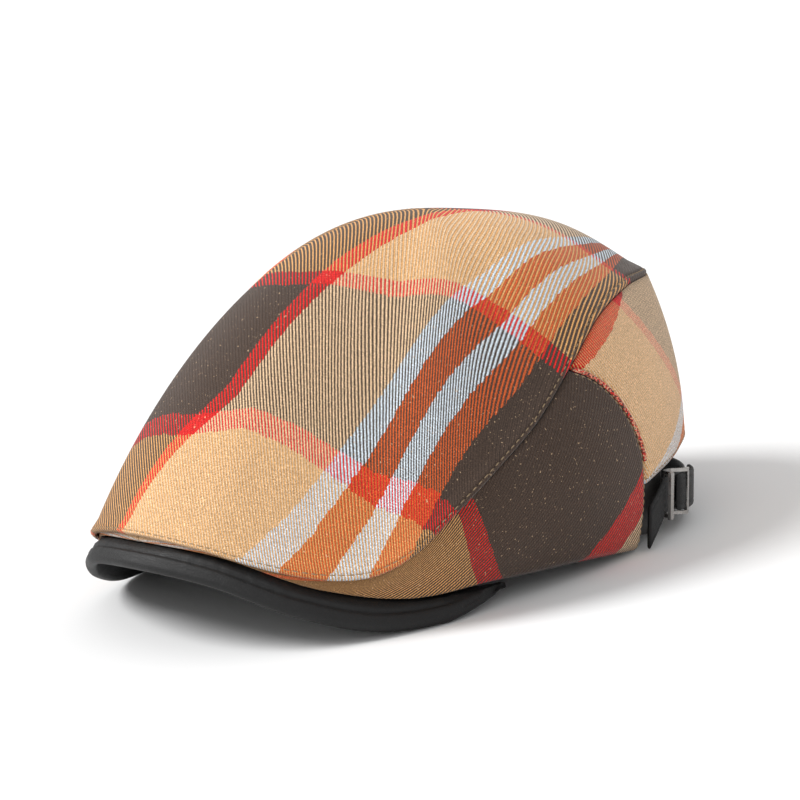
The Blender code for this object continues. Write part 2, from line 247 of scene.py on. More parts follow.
def visor_edge(angle):
    place = outline(angle, VISOR_HALF_WIDTH, VISOR_FRONT, HEM_BACK, VISOR_ROUNDNESS)
    place -= outward(angle) * blend(VISOR_TUCK, angle)
    place[2] = blend(VISOR_HEIGHT, angle)
    return place


def visor_middle(angle, inwards):
    """The visor's middle surface: from its outer edge at 0, under the hem, to the head opening at 1."""
    edge = visor_edge(angle)
    under_hem = hem_point(angle)
    under_hem[2] -= LAYER_GAP + COVER + LAYER_GAP + BOARD / 2 + 0.3
    inner = outline(angle, OPENING_HALF_WIDTH, OPENING_FRONT, HEM_BACK, 2.0)
    width = np.linalg.norm((under_hem - inner)[:2])
    inner[2] = under_hem[2] + OPENING_RISE * min(width / 30.0, 1.0)
    knots = (0.0, 0.3, 1.0)
    places = np.array([edge, under_hem, inner])
    return np.array([np.interp(inwards, knots, places[:, axis]) for axis in range(3)])


def visor_surface(angle, inwards, lift):
    """The visor's middle surface moved upwards, square to itself, by lift."""
    step = 0.04
    across = visor_middle(angle + 1, inwards) - visor_middle(angle - 1, inwards)
    along = visor_middle(angle, min(inwards + step, 1)) - visor_middle(angle, max(inwards - step, 0))
    normal = np.cross(across, along)
    normal *= math.copysign(1 / np.linalg.norm(normal), normal[2])
    return visor_middle(angle, inwards) + normal * lift


def strap_edges(bearing):
    """Heights of the strap's lower and upper edge."""
    low = STRAP_HEIGHT + STRAP_CLIMB * (bearing / STRAP_ROOT) ** 2
    spread = max(abs(bearing) - ROOT_START, 0.0) / (STRAP_ROOT - ROOT_START)
    return low - ROOT_UNDER * spread, low + STRAP_WIDTH - ROOT_OVER * spread


def strap_place(bearing, radius, height):
    """A point round the back: the bearing is measured from straight back, positive to the wearer's left."""
    turn = math.radians(bearing)
    return np.array([
        STRAP_CENTRE[0] + radius * math.sin(turn),
        STRAP_CENTRE[1] + radius * math.cos(turn),
        height,
    ])


STAND = Matrix.Translation(Vector(STAND_SHIFT) * MM) @ Matrix.Rotation(-math.radians(STAND_TILT), 4, "X")


def to_linear(value):
    value /= 255.0
    return value / 12.92 if value <= 0.04045 else ((value + 0.055) / 1.055) ** 2.4


def grey(value):
    return (value, value, value, 1.0)


def colour(text):
    """Linear RGBA of a colour written as six hexadecimal digits."""
    return (*(to_linear(int(text[i:i + 2], 16)) for i in (0, 2, 4)), 1.0)


DARK, RED, ORANGE = colour("4b3b31"), colour("df1f1a"), colour("d4602a")
CREAM, YELLOW, WHITE = colour("e8c69f"), colour("e2a766"), colour("dbe6ee")
THREAD = colour("a98f6c")


# ---------------------------------------------------------------- mesh helpers

def normals_of(grid, closed):
    wrapped = np.concatenate([grid[-1:], grid, grid[:1]]) if closed else grid
    across = np.gradient(wrapped, axis=0)
    if closed:
        across = across[1:-1]
    along = np.gradient(grid, axis=1)
    normal = np.cross(across, along)
    normal /= np.maximum(np.linalg.norm(normal, axis=2, keepdims=True), 1e-9)
    return normal


def faces_out(normal, grid):
    """Whether most of a grid's normals point away from the inside of the crown."""
    return np.median(np.sum(normal * (grid - CROWN_CENTRE), axis=2)) > 0


def outward_normals(grid, closed=False):
    normal = normals_of(grid, closed)
    return normal if faces_out(normal, grid) else -normal


def add_object(name, points, faces, material):
    """A smooth object made from points in millimetres in the head frame, stood up as the cap stands."""
    mesh = bpy.data.meshes.new(name)
    mesh.from_pydata([tuple(point * MM) for point in points], [], faces)
    mesh.transform(STAND)
    mesh.materials.append(material)
    mesh.shade_smooth()
    piece = bpy.data.objects.new(name, mesh)
    bpy.context.scene.collection.objects.link(piece)
    return piece


def make_piece(name, grid, material, body="cap", maps=(), closed=False, wall=0.0, caps=False, pole=None):
    """A sheet or a closed tube through a grid of points. closed joins the last row to the first, pole closes
    the far ends of all rows at one point, and caps closes both ends of a tube. maps holds UV layers as
    (name, grid of 2 coordinates). wall gives a sheet its thickness, on the inner side."""
    rows, width = grid.shape[:2]
    points = list(grid.reshape(-1, 3))
    faces = []
    for i in range(rows if closed else rows - 1):
        j = (i + 1) % rows
        for k in range(width - 1):
            faces.append((i * width + k, j * width + k, j * width + k + 1, i * width + k + 1))
    if pole is not None:
        points.append(np.array(pole))
        for i in range(rows):
            faces.append((i * width + width - 1, (i + 1) % rows * width + width - 1, rows * width))
    if caps:
        faces.append(tuple(range(width - 1)))
        faces.append(tuple((rows - 1) * width + k for k in reversed(range(width - 1))))
    elif not faces_out(normals_of(grid, closed), grid):
        faces = [tuple(reversed(face)) for face in faces]
    piece = add_object(name, points, faces, material)
    corner = np.empty(len(piece.data.loops), np.int32)
    piece.data.loops.foreach_get("vertex_index", corner)
    for layer, values in maps:
        at_pole = values[:, -1].mean(axis=0)
        held = np.vstack([values.reshape(-1, 2), at_pole])[corner]
        piece.data.uv_layers.new(name=layer).data.foreach_set("uv", held.astype(np.float32).ravel())
    if wall:
        solid = piece.modifiers.new("wall", "SOLIDIFY")
        solid.thickness = wall * MM
        solid.offset = -1.0
    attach(piece, body)
    return piece


def close_loops(rows):
    """Each row made a closed loop by repeating its first point."""
    return np.concatenate([rows, rows[:, :1]], axis=1)


# A stitch's thread: places along it from the middle, each with its part of the full radius.
STITCH_RINGS = ((-1.0, 0.25), (-0.7, 0.85), (0.0, 1.0), (0.7, 0.85), (1.0, 0.25))
STITCH_SIDES = 6
STITCH_SINK = 0.35


def make_stitches(name, path, normals, material, body="cap", pitch=3.0, length=2.1, radius=0.28):
    """A row of short threads along a path of points, each a bead whose ends sink into the surface."""
    gaps = np.linalg.norm(np.diff(path, axis=0), axis=1)
    reach = np.concatenate([[0], np.cumsum(gaps)])
    points, faces = [], []
    for start in np.arange(pitch / 2, reach[-1] - pitch / 2, pitch):
        at = np.array([np.interp(start, reach, path[:, k]) for k in range(3)])
        ahead = np.array([np.interp(start + 0.5, reach, path[:, k]) for k in range(3)])
        up = np.array([np.interp(start, reach, normals[:, k]) for k in range(3)])
        along = (ahead - at) / np.linalg.norm(ahead - at)
        side = np.cross(up, along)
        side /= np.linalg.norm(side)
        up = np.cross(along, side)
        first = len(points)
        for part, size in STITCH_RINGS:
            sink = -STITCH_SINK * radius * part**2
            for turn in range(STITCH_SIDES):
                angle = math.tau * turn / STITCH_SIDES
                offset = side * math.cos(angle) * radius * size + up * (math.sin(angle) * radius * size + sink)
                points.append(at + along * part * length / 2 + offset)
        for ring in range(len(STITCH_RINGS) - 1):
            for turn in range(STITCH_SIDES):
                a = first + ring * STITCH_SIDES + turn
                b = first + ring * STITCH_SIDES + (turn + 1) % STITCH_SIDES
                faces.append((a, b, b + STITCH_SIDES, a + STITCH_SIDES))
        last = len(points) - STITCH_SIDES
        faces.append(tuple(first + k for k in reversed(range(STITCH_SIDES))))
        faces.append(tuple(last + k for k in range(STITCH_SIDES)))
    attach(add_object(name, points, faces, material), body)


# ---------------------------------------------------------------- materials

class Nodes:
    """Short calls for building a material's node tree."""

    def __init__(self, name):
        self.material = bpy.data.materials.new(name)
        self.material.use_nodes = True
        self.tree = self.material.node_tree
        self.shader = self.tree.nodes["Principled BSDF"]

    def put(self, socket, value):
        if isinstance(value, (int, float, tuple, list)):
            socket.default_value = value
        else:
            self.tree.links.new(value, socket)

    def node(self, kind, output=0, settings=None, **inputs):
        made = self.tree.nodes.new(kind)
        for key, value in (settings or {}).items():
            setattr(made, key, value)
        for key, value in inputs.items():
            self.put(made.inputs[int(key[1:]) if key[1:].isdigit() else key.replace("_", " ")], value)
        return made.outputs[output]

    def math(self, operation, a, b=0.0, c=0.0):
        return self.node("ShaderNodeMath", 0, {"operation": operation}, i0=a, i1=b, i2=c)

    def mix(self, factor, a, b, kind="MIX"):
        made = self.tree.nodes.new("ShaderNodeMix")
        made.data_type, made.blend_type = "RGBA", kind
        self.put(made.inputs["Factor"], factor)
        self.put(made.inputs[6], a)
        self.put(made.inputs[7], b)
        return made.outputs[2]

    def uv(self, layer):
        split = self.node("ShaderNodeSeparateXYZ", 0, None,
                          i0=self.node("ShaderNodeUVMap", 0, {"uv_map": layer})).node
        return split.outputs[0], split.outputs[1]

    def noise(self, scale, detail=2.0, vector=None, roughness=0.5):
        vector = vector or self.node("ShaderNodeTexCoord", 3)
        return self.node("ShaderNodeTexNoise", 0, None, Vector=vector, Scale=scale, Detail=detail,
                         Roughness=roughness)

    def ramp(self, value, stops, smooth=False):
        made = self.tree.nodes.new("ShaderNodeValToRGB")
        ramp = made.color_ramp
        ramp.interpolation = "LINEAR" if smooth else "CONSTANT"
        while len(ramp.elements) > 1:
            ramp.elements.remove(ramp.elements[-1])
        ramp.elements[0].position, ramp.elements[0].color = stops[0]
        for place, shade in stops[1:]:
            ramp.elements.new(place).color = shade
        self.put(made.inputs[0], value)
        return made.outputs[0]

    def span(self, value, low, high, at_low, at_high, kind="LINEAR"):
        """The value from low to high, mapped to a range from at_low to at_high."""
        return self.node("ShaderNodeMapRange", 0, {"interpolation_type": kind}, i0=value, i1=low, i2=high,
                         i3=at_low, i4=at_high)

    def finish(self, base, roughness, height=None, distance=0.3, strength=0.6, **constants):
        self.put(self.shader.inputs["Base Color"], base)
        self.put(self.shader.inputs["Roughness"], roughness)
        for key, value in constants.items():
            self.shader.inputs[key.replace("_", " ")].default_value = value
        if height is not None:
            bump = self.node("ShaderNodeBump", 0, None, Strength=strength, Distance=distance * MM,
                             Height=height)
            self.put(self.shader.inputs["Normal"], bump)
        return self.material


# Both coordinates of a plaid run from -RANGE to RANGE, in millimetres.
RANGE = 200.0
TOP_WARP = [(-200, DARK), (-76, ORANGE), (-68, WHITE), (-61, ORANGE), (-55, WHITE), (-48, CREAM), (-44, RED),
            (-37, DARK), (11, RED), (18, CREAM), (50.5, WHITE), (57.5, ORANGE), (64.5, WHITE), (70.5, ORANGE),
            (78, DARK)]
TOP_WEFT = [(-200, YELLOW), (-110.5, RED), (-104.8, DARK), (-65, RED), (-58.5, YELLOW), (8, RED), (14, DARK),
            (70, YELLOW)]
SIDE_WARP = [(-200, CREAM), (-142, WHITE), (-137, ORANGE), (-133, WHITE), (-126, ORANGE), (-121, DARK),
             (-101, RED), (-94, DARK), (-11, RED), (1.5, CREAM), (60, WHITE)]
SIDE_WEFT = [(-200, YELLOW), (-26.5, RED), (-17.3, DARK)]
BACK_WARP = [(-200, DARK), (-62, RED), (-54, CREAM), (0, WHITE), (8, ORANGE), (16, WHITE), (24, CREAM),
             (30, RED), (38, DARK), (60, ORANGE), (69, WHITE), (75.5, CREAM), (122, RED), (150, DARK)]
BACK_WEFT = [(-200, YELLOW), (-95, RED), (-88, DARK), (-12.5, RED), (-7, YELLOW)]
# Spacing of the threads along a ridge of the twill.
THREAD_PITCH = 1.05
# Brightness of the cloth by its flecks, and how much of the light slubs shows.
FLECK_SHADES = [(0.0, grey(0.3)), (0.34, grey(0.45)), (0.46, grey(0.9)), (0.56, grey(1.15)),
                (0.72, grey(2.3))]
SLUB_SHADES = [(0.0, grey(0)), (0.70, grey(0)), (0.76, grey(1)), (1.0, grey(1))]


def plaid(name, warp, weft, pitch, lead=0.0):
    """A twill whose colour at each point is the warp's or the weft's stripe, as the weave brings it up.
    warp and weft list (start in millimetres, colour), pitch is the spacing of the ridges, and lead brings up
    more of the warp."""
    n = Nodes(name)
    u, v = n.uv("plaid")
    across, along = n.uv("twill")
    flecks = n.noise(2300.0, 3.0, roughness=0.65)
    wander = n.math("MULTIPLY", n.math("SUBTRACT", n.noise(420.0, 2.0), 0.5), 1.5)

    def stripes(value, table):
        place = n.math("DIVIDE", n.math("ADD", n.math("ADD", value, wander), RANGE), 2 * RANGE)
        return n.ramp(place, [((start + RANGE) / (2 * RANGE), shade) for start, shade in table])

    phase = n.math("MULTIPLY", n.math("ADD", across, n.math("MULTIPLY", wander, 0.16)), math.tau / pitch)
    ridges = n.math("ADD", n.math("MULTIPLY", n.math("SINE", phase), 0.5), 0.5)
    turn = n.math("ADD", n.math("MULTIPLY", along, math.tau / THREAD_PITCH), n.math("MULTIPLY", phase, 0.5))
    beads = n.math("SINE", turn)
    rough_edge = n.math("ADD", n.math("MULTIPLY", beads, 0.16),
                        n.math("MULTIPLY", n.math("SUBTRACT", flecks, 0.5), 0.9))
    face = n.span(n.math("ADD", ridges, rough_edge), 0.24 - lead, 0.52 - lead, 0.0, 1.0, "SMOOTHSTEP")
    cloth = n.mix(face, stripes(v, weft), stripes(u, warp))
    # Painted shade: the valleys between the twill's ridges are darkened, down to 0.45 of the cloth's colour.
    valley = n.span(n.math("ABSOLUTE", n.math("SUBTRACT", ridges, 0.48)), 0.0, 0.32, 0.45, 1.0)
    shadow = n.node("ShaderNodeCombineColor", 0, None, i0=valley, i1=valley, i2=valley)
    cloth = n.mix(1.0, cloth, shadow, "MULTIPLY")
    cloth = n.mix(0.75, cloth, n.ramp(flecks, FLECK_SHADES, True), "MULTIPLY")
    slub = n.ramp(n.noise(1150.0, 1.0), SLUB_SHADES, True)
    cloth = n.mix(n.math("MULTIPLY", slub, 0.6), cloth, CREAM)
    cloth = n.mix(n.math("MULTIPLY", n.noise(60.0, 2.0), 0.10), cloth, grey(0.12))
    height = n.math("ADD", n.math("MULTIPLY", ridges, 0.7), n.math("MULTIPLY", beads, 0.15))
    height = n.math("ADD", height, n.math("MULTIPLY", flecks, 0.5))
    return n.finish(cloth, n.span(flecks, 0.0, 1.0, 0.82, 1.0), height, 0.35, 0.55, Sheen_Weight=0.18,
                    Sheen_Roughness=0.45, Specular_IOR_Level=0.2)


def leather(name, tint, grain, rough):
    """Fine pebbled grain over soft folds. rough holds the least and the most roughness."""
    n = Nodes(name)
    cells = n.node("ShaderNodeTexVoronoi", 0, {"feature": "DISTANCE_TO_EDGE"},
                   Vector=n.node("ShaderNodeTexCoord", 3), Scale=1100.0)
    grains = n.ramp(cells, [(0.0, grey(0)), (0.12, grey(0.8)), (0.5, grey(1))], True)
    folds = n.noise(140.0, 4.0, roughness=0.6)
    wear = n.noise(45.0, 3.0)
    base = n.mix(wear, tint, tuple(c * 1.7 for c in tint[:3]) + (1.0,))
    base = n.mix(n.math("MULTIPLY", n.math("SUBTRACT", 1.0, grains), 0.5), base, grey(0.004))
    height = n.math("ADD", n.math("MULTIPLY", grains, 0.35 * grain), n.math("MULTIPLY", folds, 2.6))
    return n.finish(base, n.span(wear, 0.3, 0.7, *rough), height, 0.30, 0.5, Specular_IOR_Level=0.35)


def satin(name, tint):
    """Smooth cloth with fine diagonal ribs."""
    n = Nodes(name)
    ribs = n.node("ShaderNodeTexWave", 1, {"wave_type": "BANDS", "bands_direction": "DIAGONAL"},
                  Vector=n.node("ShaderNodeTexCoord", 3), Scale=900.0, Distortion=1.5)
    soft = n.noise(80.0, 3.0)
    base = n.mix(soft, tint, tuple(c * 1.6 for c in tint[:3]) + (1.0,))
    rough = n.span(soft, 0.0, 1.0, 0.35, 0.6)
    return n.finish(base, rough, n.math("ADD", ribs, soft), 0.2, 0.3, Sheen_Weight=0.3)


def sewn_thread(name, tint):
    n = Nodes(name)
    fuzz = n.noise(2500.0, 2.0)
    return n.finish(n.mix(n.math("MULTIPLY", fuzz, 0.5), tint, grey(0.1)), 0.8, fuzz, 0.1, 0.5)


def mixed_threads(name):
    """Red, cream and dark threads lying side by side in the folded rim of a seam."""
    n = Nodes(name)
    ends = n.noise(1300.0, 2.0)
    base = n.ramp(ends, [(0.0, DARK), (0.47, RED), (0.56, CREAM), (0.62, DARK)])
    return n.finish(base, 0.85, ends, 0.3, 0.6, Sheen_Weight=0.1)


def brushed(name, tint):
    """Metal with worn patches."""
    n = Nodes(name)
    lines = n.noise(500.0, 4.0)
    worn = n.noise(160.0, 3.0)
    base = n.mix(n.math("MULTIPLY", worn, 0.35), tint, grey(0.16))
    return n.finish(base, n.span(lines, 0.3, 0.7, 0.22, 0.42), lines, 0.05, 0.25, Metallic=0.9)


# ---------------------------------------------------------------- crown

# Direction across the twill's ridges, in each panel's own flat coordinates.
TWILL_TOP, TWILL_SIDE, TWILL_BACK = (0.60, 0.80), (0.79, -0.62), (0.82, -0.57)
# Height of the cloth over its own surface at each distance in from the panel's edge.
TOP_LIP = {0.0: -1.1, 0.35: -0.1, 0.8: 0.75, 1.5: 0.95, 2.2: 0.45, 3.0: 0.75, 5.0: 0.45, 9.0: 0.0}
REAR_RIM = {0.0: -0.9, 0.4: 0.0, 0.9: 0.25, 1.6: -0.1, 2.6: 0.15, 6.0: 0.0}
SIDE_HEM = {0.0: -0.8, 0.5: 0.0, 1.2: 0.2, 3.0: 0.1, 6.0: 0.0}
BACK_HEM = {0.0: -0.9, 0.4: 0.0, 1.0: 0.35, 1.9: 0.0, 3.0: 0.2, 6.0: 0.0}
# Distances in from the top panel's edge where it has a ring of points, and the one that is topstitched.
TOP_RINGS = [0.0, 0.35, 0.8, 1.15, 1.5, 1.85, 2.2, 2.6, 3.0, 4.0, 5.0, 7.0, 9.0, 12.0]
TOPSTITCH = 2.2
# The stitches of the side and back panels: how far in from the seam or hem, and their sizes.
SIDE_STITCH, BACK_STITCH = 1.7, 2.0
SMALL_STITCH = {"pitch": 2.8, "length": 1.9, "radius": 0.22}
# Radius at which the back panel's cloth is laid flat.
BACK_ROLL = 85.0


def twill_map(first, second, direction):
    """The two coordinates turned so that the first runs across the twill's ridges."""
    a, b = direction
    size = math.hypot(a, b)
    a, b = a / size, b / size
    return np.stack([first * a + second * b, second * a - first * b], axis=-1)


def bump_profile(distance, table):
    keys = sorted(table)
    return np.interp(distance, keys, [table[k] for k in keys])


def top_plaid(x, y):
    """Warp and weft of the top panel's cloth at each place seen from above. The stripes draw together to the
    front and the rear, fan out over the brow, and slope back and spread towards the sides."""
    warp = x / np.maximum(1.0 - 0.39 * ((y + 48.0) / 100.0) ** 2, 0.38)
    brow = np.clip((-95.0 - y) / 30.0, 0.0, 1.2) ** 1.2 * np.exp(-((x / 35.0) ** 2))
    sideways = (np.sqrt(x**2 + 15.0**2) - 15.0) * np.where(x < 0, 0.3, 1.0)
    weft = (y - 1.172 * sideways) / (1.0 + 0.0047 * sideways)
    return np.stack([warp + 26.0 * brow, weft], axis=-1)


def make_top(cloth, thread):
    angles = np.arange(0.0, 360.0, 1.5)
    grid, depth = [], []
    for angle in angles:
        length = np.linalg.norm(blend(SEAM, angle) - np.array(CROWN_TOP)) * 1.06
        parts = [distance / length for distance in TOP_RINGS]
        parts += list(np.linspace(parts[-1], 0.985, 46)[1:])
        grid.append([top_surface(angle, part) for part in parts])
        depth.append([part * length for part in parts])
    grid, depth = np.array(grid), np.array(depth)
    normal = outward_normals(grid, True)
    turn = np.radians(angles)[:, None]
    ripple = np.sin(turn * 46 + 1.3 * np.sin(turn * 7))
    lift = bump_profile(depth, TOP_LIP) + 0.10 * ripple * np.exp(-((depth - 4.0) / 4.0) ** 2)
    placed = grid + normal * lift[..., None]
    gaps = np.linalg.norm(np.diff(grid, axis=1), axis=2)
    from_top = np.concatenate([np.cumsum(gaps[:, ::-1], axis=1)[:, ::-1], np.zeros((len(grid), 1))], axis=1)
    twill = twill_map(from_top * np.sin(turn), -from_top * np.cos(turn), TWILL_TOP)
    maps = [("plaid", top_plaid(grid[..., 0], grid[..., 1])), ("twill", twill)]
    top = make_piece("top_panel_cloth", placed, cloth, maps=maps, closed=True, wall=CLOTH_WALL, pole=CROWN_TOP)
    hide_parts("top_panel")
    column = TOP_RINGS.index(TOPSTITCH)
    path = np.concatenate([placed[:, column], placed[:1, column]])
    up = np.concatenate([normal[:, column], normal[:1, column]])
    make_stitches("crown_topstitch", path + up * 0.05, up, thread)


def side_grid(side, depth=0.0, start=0.15, low=0.0, high=1.0, count=150, levels=30, end_gap=0.35):
    """A side panel from the front to the seam with the back panel, stopping end_gap short of it."""
    surface = inside(side_surface, depth)
    grid = []
    for i in range(count + 1):
        row = []
        for up in np.linspace(low, high, levels + 1):
            end = back_seam_angle(up) - math.degrees(end_gap / HEM_BACK)
            angle = start + (end - start) * i / count
            row.append(surface(side * angle, up))
        grid.append(row)
    return np.array(grid)


def row_length(grid, axis):
    """Distance run along the grid's surface in one of its two directions."""
    gaps = np.linalg.norm(np.diff(grid, axis=axis), axis=2)
    pad = [(0, 0), (0, 0)]
    pad[axis] = (1, 0)
    return np.pad(np.cumsum(gaps, axis=axis), pad)


def make_side(side, word, cloth, thread):
    grid = side_grid(side)
    normal = outward_normals(grid)
    reach = row_length(grid, 0)
    to_rear = reach[-1:] - reach
    up = row_length(grid, 1)
    lift = bump_profile(to_rear, REAR_RIM) + bump_profile(up, SIDE_HEM)
    lift += 0.12 * np.sin(reach / 7.0) * np.exp(-up / 12.0)
    placed = grid + normal * lift[..., None]
    # Distance back along the panel, which equals y where the panel runs straight back.
    rear = grid[-1:, :, 1] - to_rear
    height = grid[..., 2]
    maps = [("plaid", np.stack([rear - height, rear + height], axis=-1) / math.sqrt(2)),
            ("twill", twill_map(rear, height, TWILL_SIDE))]
    panel = make_piece(f"side_panel_{word}_cloth", placed, cloth, maps=maps, wall=CLOTH_WALL)
    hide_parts("side_panel_" + word)
    rows = [int(np.argmin(abs(to_rear[:, k] - SIDE_STITCH))) for k in range(grid.shape[1])]
    ups = np.array([normal[i, k] for k, i in enumerate(rows)])
    path = np.array([placed[i, k] for k, i in enumerate(rows)]) + ups * 0.1
    make_stitches(f"side_stitch_{word}", path, ups, thread, **SMALL_STITCH)


def back_grid(surface, count, levels, rise, high, end_gap):
    """The back panel from its left seam to its right one, stopping end_gap short of both. rise lifts its
    arched lower edge, as a part of the height."""
    grid = []
    for across in np.linspace(1, -1, count):
        low = BACK_ARCH_MIDDLE + (BACK_ARCH_SIDE - BACK_ARCH_MIDDLE) * abs(across) ** 2.2 + rise
        row = []
        for up in np.linspace(low, high, levels):
            reach = 180 - back_seam_angle(up) - math.degrees(end_gap / HEM_BACK)
            row.append(surface(180 - across * reach, up))
        grid.append(row)
    return np.array(grid)


def make_back(cloth, thread):
    grid = back_grid(side_surface, 141, 31, 0.0, 1.0, 0.3)
    normal = outward_normals(grid)
    reach = row_length(grid, 0)
    to_side = np.minimum(reach, reach[-1:] - reach)
    up = row_length(grid, 1)
    lift = bump_profile(to_side, REAR_RIM) + bump_profile(up, BACK_HEM)
    placed = grid + normal * lift[..., None]
    round_back = np.arctan2(grid[..., 0], grid[..., 1]) * BACK_ROLL
    height = grid[..., 2]
    plaid_map = np.stack([height * 0.92 + round_back * 0.39, (round_back - 0.97 * height) / 1.39], axis=-1)
    maps = [("plaid", plaid_map), ("twill", twill_map(round_back, height, TWILL_BACK))]
    panel = make_piece("back_panel_cloth", placed, cloth, maps=maps, wall=CLOTH_WALL)
    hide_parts("back_panel")
    column = int(np.argmin(abs(up[len(up) // 2] - BACK_STITCH)))
    ups = normal[:, column]
    make_stitches("back_hem_stitch", placed[:, column] + ups * 0.1, ups, thread, **SMALL_STITCH)


# The seam's folded rim: its radius, and where it starts and ends up the seam.
CORD_RADIUS = 0.75
CORD_START, CORD_END = 0.40, 0.985


def make_seam_cord(side, word, material):
    """The narrow folded rim of mixed threads along the seam between side and back panel."""
    path = []
    for up in np.linspace(CORD_START, CORD_END, 60):
        angle = back_seam_angle(up)
        path.append(side_surface(side * angle, up) + outward(side * angle) * 0.25)
    path = np.array(path)
    grid = []
    for i, place in enumerate(path):
        ahead = path[min(i + 1, len(path) - 1)] - path[max(i - 1, 0)]
        ahead /= np.linalg.norm(ahead)
        out = outward(side * 100.0)
        across = np.cross(out, ahead)
        across /= np.linalg.norm(across)
        grid.append([place + (across * math.cos(a) + out * math.sin(a) * 0.8) * CORD_RADIUS
                     for a in np.linspace(0, math.tau, 13)])
    make_piece(f"seam_cord_{word}", np.array(grid), material, caps=True)


def make_lining(cloth):
    """The four pieces of lining, each a little further in than its CAD node's outer face."""
    surface = inside(top_surface, LINING_DEPTH)
    grid = []
    for angle in np.arange(0.0, 360.0, 4.0):
        length = np.linalg.norm(blend(SEAM, angle) - np.array(CROWN_TOP))
        first = blend(LINING_SEAM, angle) / length
        grid.append([surface(angle, part) for part in np.linspace(first, 0.95, 22)])
    grid = np.array(grid)
    grid += outward_normals(grid, True) * -0.25
    piece = make_piece("lining_top_cloth", grid, cloth, closed=True, wall=LINING_WALL,
                       pole=np.array(CROWN_TOP) - np.array([0, 0, LINING_DEPTH + 0.3]))
    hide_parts("lining_top")
    for side, word in ((1, "left"), (-1, "right")):
        grid = side_grid(side, LINING_DEPTH + 0.1, LINING_START, 0.03, 0.97, 50, 12, 1.2)
        piece = make_piece(f"lining_side_{word}_cloth", grid, cloth, wall=LINING_WALL)
        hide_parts("lining_side_" + word)
    grid = back_grid(inside(side_surface, LINING_DEPTH + 0.1), 61, 13, 0.01, 0.97, 1.4)
    piece = make_piece("lining_back_cloth", grid, cloth, wall=LINING_WALL)
    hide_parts("lining_back")


def make_bands(facing, label):
    """The sweatband, the facings behind the side panels' rear corners, and the blank label."""
    grid = []
    for angle in np.linspace(-SWEATBAND_END, SWEATBAND_END, 160):
        place = outline(angle, SWEATBAND_HALF_WIDTH, SWEATBAND_FRONT, HEM_BACK - 6, 2.0)
        bottom = blend(HEM_HEIGHT, angle) + 1.5
        inner = place / np.linalg.norm(place)
        row = []
        for part in np.linspace(0, 1, 12):
            swell = 0.35 * math.sin(math.pi * part) + 0.5
            row.append(place + inner * swell + np.array([0, 0, bottom + SWEATBAND_HEIGHT * part]))
        grid.append(row)
    piece = make_piece("sweatband_leather", np.array(grid), facing, wall=SWEATBAND)
    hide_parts("sweatband")
    surface = inside(side_surface, FACING_DEPTH)
    for side, word in ((1, "left"), (-1, "right")):
        grid = np.array([[surface(side * a, up) for up in np.linspace(0.04, 0.42, 14)]
                         for a in np.linspace(99.0, 122.0, 30)])
        piece = make_piece(f"rear_facing_{word}_leather", grid, facing, wall=FACING)
        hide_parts("rear_facing_" + word)
    surface = inside(side_surface, LINING_DEPTH + LINING + 3 * LAYER_GAP)
    grid = np.array([[surface(a, up) for up in np.linspace(0.55, 0.75, 10)]
                     for a in np.linspace(171.0, 189.0, 16)])
    piece = make_piece("size_label_cloth", grid, label, wall=LABEL)
    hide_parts("size_label")


# ---------------------------------------------------------------- visor

# Height of the upper cover over its own surface at each distance in from the rolled edge.
VISOR_RIDGE = {0.0: 0.1, 1.2: 0.35, 2.4: 0.3, 3.1: -0.35, 3.5: -0.45, 4.2: 0.1, 7.0: 0.0}
# Parts of the visor's width, from the head opening out to the edge, where it has a row of points.
VISOR_ROWS = [1.0, 0.8, 0.6, 0.48, 0.38, 0.32, 0.26, 0.22, 0.19, 0.16, 0.13, 0.10, 0.07, 0.045, 0.02]
# The visor thins to nothing over this many degrees before its tip, and draws in by this much there.
VISOR_TIP = VISOR_END + 3.0
VISOR_TAPER = 10.0
VISOR_DRAW_IN = 4.0


def make_visor(hide):
    """One padded loop: over the top, round the rolled edge and back under."""
    lift = BOARD / 2 + LAYER_GAP + COVER
    grid = []
    for index, angle in enumerate(np.linspace(-VISOR_TIP, VISOR_TIP, 300)):
        taper = min(max((VISOR_TIP - abs(angle)) / VISOR_TAPER, 0.04), 1.0) ** 0.6
        drawn_in = (1.0 - taper) * VISOR_DRAW_IN
        edge = visor_edge(angle)
        away = edge - visor_surface(angle, 0.2, 0.0)
        away /= np.linalg.norm(away)
        edge = edge - away * drawn_in
        width = np.linalg.norm(visor_surface(angle, 0.3, 0.0) - edge) / 0.3
        up = visor_surface(angle, 0.12, 1.0) - visor_surface(angle, 0.12, 0.0)
        crease = 0.10 * math.sin(index * 0.9) * math.sin(index * 0.23 + 1.0)
        row = []
        for part in VISOR_ROWS:
            rise = float(bump_profile(part * width, VISOR_RIDGE))
            rise += crease * math.exp(-((part * width - 4.0) / 3.0) ** 2)
            row.append(visor_surface(angle, max(part, drawn_in / width), (lift + rise) * taper))
        radius = (lift + 0.15) * taper
        for turn in np.radians(np.linspace(78, -78, 11)):
            row.append(edge + away * (0.35 + math.cos(turn) * radius * 0.95) + up * math.sin(turn) * radius)
        for part in reversed(VISOR_ROWS[1:-1]):
            row.append(visor_surface(angle, max(part, drawn_in / width), -lift * taper))
        row.append(visor_surface(angle, 1.0, -lift * taper))
        grid.append(row)
    visor = make_piece("visor_leather", close_loops(np.array(grid)), hide, caps=True)
    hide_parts("visor_cover_top", "visor_cover_bottom", "visor_piping", "visor_board")


# ---------------------------------------------------------------- strap and slide

# How far in from each edge of the strap its stitches run, in a shallow groove.
GROOVE = 1.9
GROOVE_DEPTH = 0.28


